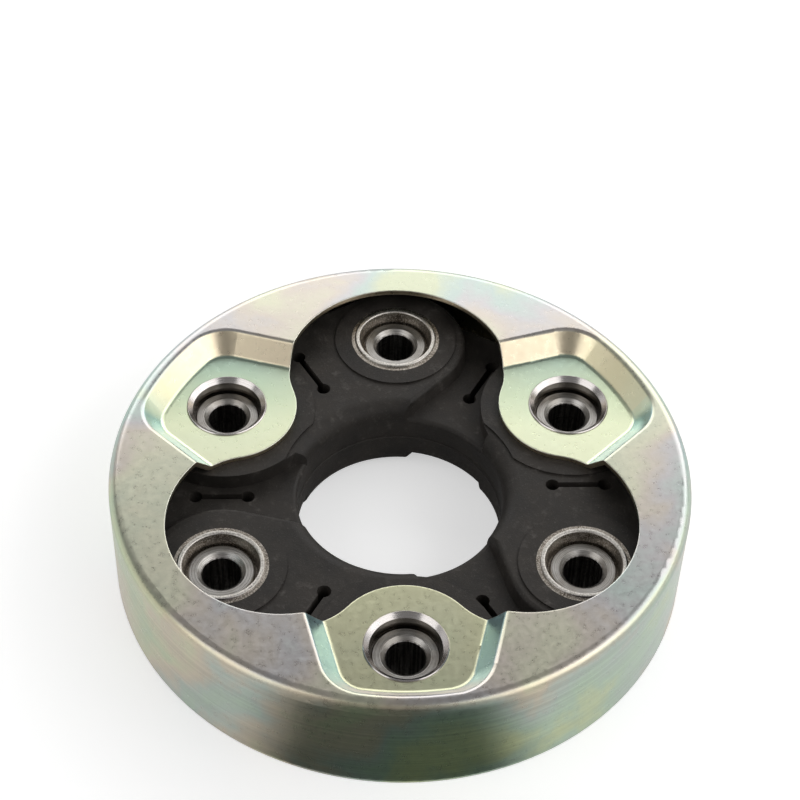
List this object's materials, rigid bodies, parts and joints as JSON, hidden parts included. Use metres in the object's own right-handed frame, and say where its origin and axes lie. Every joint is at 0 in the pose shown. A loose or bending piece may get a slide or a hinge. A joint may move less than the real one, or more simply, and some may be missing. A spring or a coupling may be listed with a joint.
{
  "type": "flexible disc coupling",
  "caption": "Rubber flex disc for a propshaft, with cord loops, sleeved bolt bushes on one bolt circle, and a pressed steel cover ring with sunken lobes.",
  "frame": {"origin": "on the coupling's axis, level with the cover ring's lower edge", "axes": "+Z along the axis, towards the face with the lobes; one plain bush lies on +Y"},
  "size_m": [0.1564, 0.1564, 0.0327],
  "materials": {
    "passivated_steel": "pressed sheet, zinc plated with a yellow iridescent passivation, satin",
    "rubber": "moulded, matt, lightly scuffed on its ridges",
    "turned_steel": "turned, bare",
    "machined_collar_steel": "turned, bare, bright chamfer",
    "drawn_collar_steel": "drawn, worn lip",
    "cord": "wound polyester cord, impregnated"
  },
  "bodies": {
    "root": {"cover_ring": "passivated_steel", "lobe_bush_lower_collar_1": "drawn_collar_steel", "lobe_bush_lower_collar_2": "drawn_collar_steel", "lobe_bush_lower_collar_3": "drawn_collar_steel", "lobe_collar_1": "machined_collar_steel", "lobe_collar_2": "machined_collar_steel", "lobe_collar_3": "machined_collar_steel", "lobe_sleeve_1": "turned_steel", "lobe_sleeve_2": "turned_steel", "lobe_sleeve_3": "turned_steel", "lower_cord_loop_1": "cord", "lower_cord_loop_2": "cord", "lower_cord_loop_3": "cord", "middle_cord_loop_1": "cord", "middle_cord_loop_2": "cord", "middle_cord_loop_3": "cord", "plain_lower_collar_1": "drawn_collar_steel", "plain_lower_collar_2": "drawn_collar_steel", "plain_lower_collar_3": "drawn_collar_steel", "plain_sleeve_1": "turned_steel", "plain_sleeve_2": "turned_steel", "plain_sleeve_3": "turned_steel", "plain_upper_collar_1": "drawn_collar_steel", "plain_upper_collar_2": "drawn_collar_steel", "plain_upper_collar_3": "drawn_collar_steel", "rubber_disc": "rubber", "upper_cord_loop_1": "cord", "upper_cord_loop_2": "cord", "upper_cord_loop_3": "cord"}
  },
  "joints": []
}
